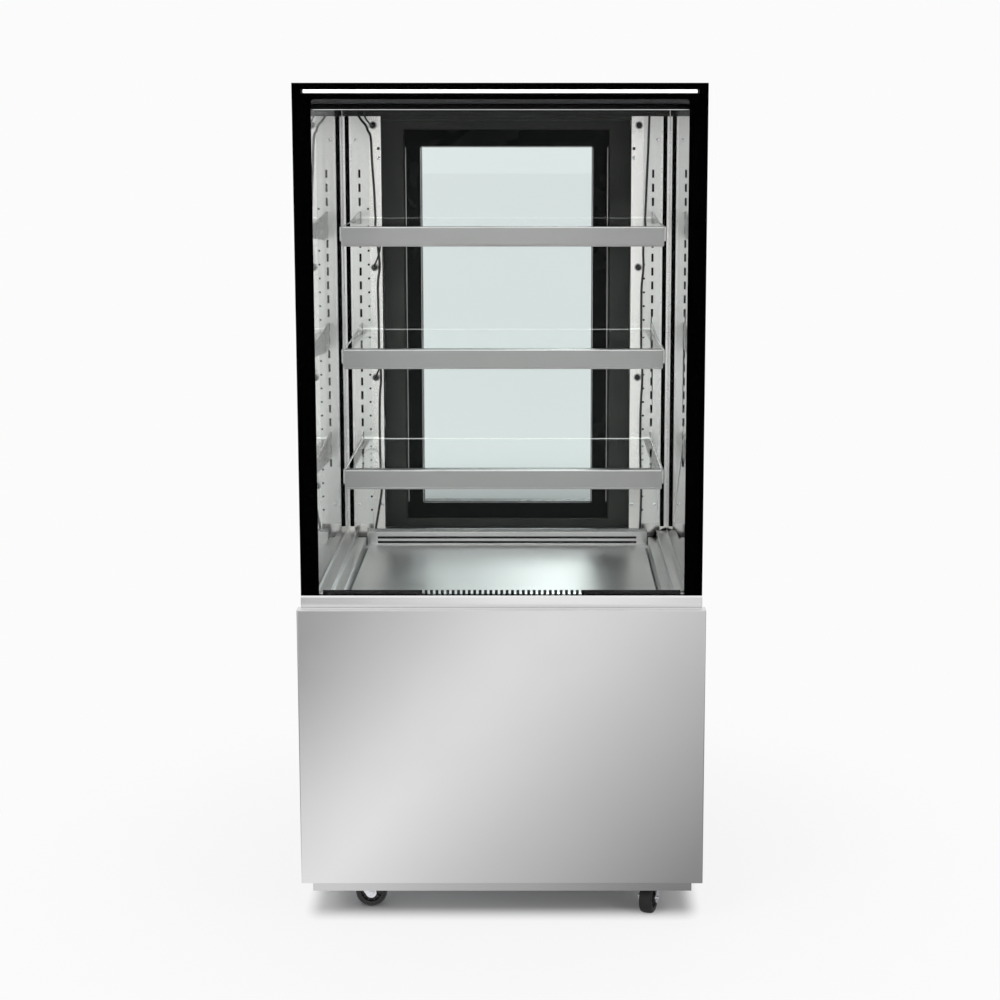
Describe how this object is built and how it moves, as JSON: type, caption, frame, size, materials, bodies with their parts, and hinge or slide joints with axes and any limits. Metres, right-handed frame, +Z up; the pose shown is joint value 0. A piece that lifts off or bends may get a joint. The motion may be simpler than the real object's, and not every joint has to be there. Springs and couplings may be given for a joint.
{
  "type": "cake display case",
  "caption": "Floor-standing refrigerated cake display case with straight double glazing, hooked glass shelves, rear door and swivel casters.",
  "frame": {"origin": "on the floor under the middle of the overall box", "axes": "+Z up, -Y towards the customer's side, +X to the right as seen from the front"},
  "size_m": [0.66, 0.68, 1.375],
  "materials": {
    "stainless": "satin brushed stainless",
    "galvanised": "galvanised sheet",
    "black_plastic": "satin black",
    "white_foam": "foamed liner",
    "clear_glass": "clear toughened",
    "black_print": "ceramic print",
    "light_diffuser": "opal diffuser",
    "anodised": "satin anodised",
    "copper": "copper tube",
    "coil_fins": "rolled fins",
    "compressor_paint": "black enamel",
    "charcoal": "charcoal profile",
    "gasket_rubber": "soft black",
    "cable_sheath": "black lead",
    "zinc": "bright zinc",
    "tyre_rubber": "moulded black"
  },
  "bodies": {
    "cabinet": {"base_tray": "galvanised", "plinth_strip": "stainless", "base_side_left": "stainless", "base_side_right": "stainless", "front_panel": "stainless", "service_grille": "galvanised", "control_fascia": "galvanised", "controller": "black_plastic", "well_tub": "white_foam", "deck_plate": "stainless", "rear_air_ledge": "stainless", "evaporator_coil": "coil_fins", "compressor": "compressor_paint", "condenser_coil": "coil_fins", "condenser_shroud": "galvanised", "condensate_tray": "black_plastic", "refrigerant_lines": "copper", "sill_front": "stainless", "side_sills": "stainless", "front_glass": "clear_glass", "glass_border": "black_print", "side_glass_left": "clear_glass", "side_glass_right": "clear_glass", "corner_post_left": "stainless", "corner_post_right": "stainless", "shelf_standards": "galvanised", "door_surround": "charcoal", "top_panel": "black_plastic", "canopy_light": "light_diffuser", "post_fittings": "black_plastic", "shelf_brackets": "stainless", "light_leads": "cable_sheath", "cable_gland": "black_plastic", "hinge_brackets": "zinc", "caster_plates": "zinc", "shelf_glass_1": "clear_glass", "shelf_rail_1": "anodised", "shelf_glass_2": "clear_glass", "shelf_rail_2": "anodised", "shelf_glass_3": "clear_glass", "shelf_rail_3": "anodised"},
    "door": {"door_frame": "charcoal", "door_glass": "clear_glass", "door_border": "black_print", "door_gasket": "gasket_rubber", "door_handle": "black_plastic"},
    "condenser_rotor": {"condenser_fan": "black_plastic"},
    "evaporator_rotor": {"evaporator_fan": "black_plastic"},
    "rocker": {"light_switch": "black_plastic"},
    "up_key": {"key_up": "black_plastic"},
    "down_key": {"key_down": "black_plastic"},
    "fork_front_left": {"caster_fork_front_left": "zinc"},
    "wheel_front_left": {"caster_wheel_front_left": "tyre_rubber"},
    "fork_front_right": {"caster_fork_front_right": "zinc"},
    "wheel_front_right": {"caster_wheel_front_right": "tyre_rubber"},
    "fork_rear_left": {"caster_fork_rear_left": "zinc"},
    "wheel_rear_left": {"caster_wheel_rear_left": "tyre_rubber"},
    "fork_rear_right": {"caster_fork_rear_right": "zinc"},
    "wheel_rear_right": {"caster_wheel_rear_right": "tyre_rubber"}
  },
  "joints": [
    {"name": "door_swing", "type": "hinge", "parent": "cabinet", "child": "door", "pos_m": [-0.25, 0.301, 0.933], "axis": [0, 0, 1], "range_deg": [0, 105], "stiffness_Nm_per_rad": 2},
    {"name": "swivel_front_left", "type": "hinge", "parent": "cabinet", "child": "fork_front_left", "pos_m": [-0.255, -0.245, 0.058], "axis": [0, 0, 1], "continuous": true},
    {"name": "roll_front_left", "type": "hinge", "parent": "fork_front_left", "child": "wheel_front_left", "pos_m": [-0.223, -0.245, 0.027], "axis": [0, 1, 0], "continuous": true},
    {"name": "swivel_front_right", "type": "hinge", "parent": "cabinet", "child": "fork_front_right", "pos_m": [0.255, -0.245, 0.058], "axis": [0, 0, 1], "continuous": true},
    {"name": "roll_front_right", "type": "hinge", "parent": "fork_front_right", "child": "wheel_front_right", "pos_m": [0.24511, -0.27543, 0.027], "axis": [0.9511, -0.309, 0], "continuous": true},
    {"name": "swivel_rear_left", "type": "hinge", "parent": "cabinet", "child": "fork_rear_left", "pos_m": [-0.255, 0.205, 0.058], "axis": [0, 0, 1], "continuous": true},
    {"name": "roll_rear_left", "type": "hinge", "parent": "fork_rear_left", "child": "wheel_rear_left", "pos_m": [-0.24406, 0.23507, 0.027], "axis": [-0.9397, 0.342, 0], "continuous": true},
    {"name": "swivel_rear_right", "type": "hinge", "parent": "cabinet", "child": "fork_rear_right", "pos_m": [0.255, 0.205, 0.058], "axis": [0, 0, 1], "continuous": true},
    {"name": "roll_rear_right", "type": "hinge", "parent": "fork_rear_right", "child": "wheel_rear_right", "pos_m": [0.24148, 0.234, 0.027], "axis": [-0.9063, -0.4226, 0], "continuous": true},
    {"name": "condenser_fan_spin", "type": "hinge", "parent": "cabinet", "child": "condenser_rotor", "pos_m": [0.13, 0.2, 0.205], "axis": [0, 1, 0], "continuous": true},
    {"name": "evaporator_fan_spin", "type": "hinge", "parent": "cabinet", "child": "evaporator_rotor", "pos_m": [0, -0.05, 0.439], "axis": [0, 1, 0], "continuous": true},
    {"name": "switch_rock", "type": "hinge", "parent": "cabinet", "child": "rocker", "pos_m": [0.205, 0.2735, 0.457], "axis": [1, 0, 0], "range_deg": [-8, 8]},
    {"name": "key_up_press", "type": "slide", "parent": "cabinet", "child": "up_key", "axis": [0, -1, 0], "range_m": [0, 0.001], "stiffness_N_per_m": 500},
    {"name": "key_down_press", "type": "slide", "parent": "cabinet", "child": "down_key", "axis": [0, -1, 0], "range_m": [0, 0.001], "stiffness_N_per_m": 500}
  ]
}
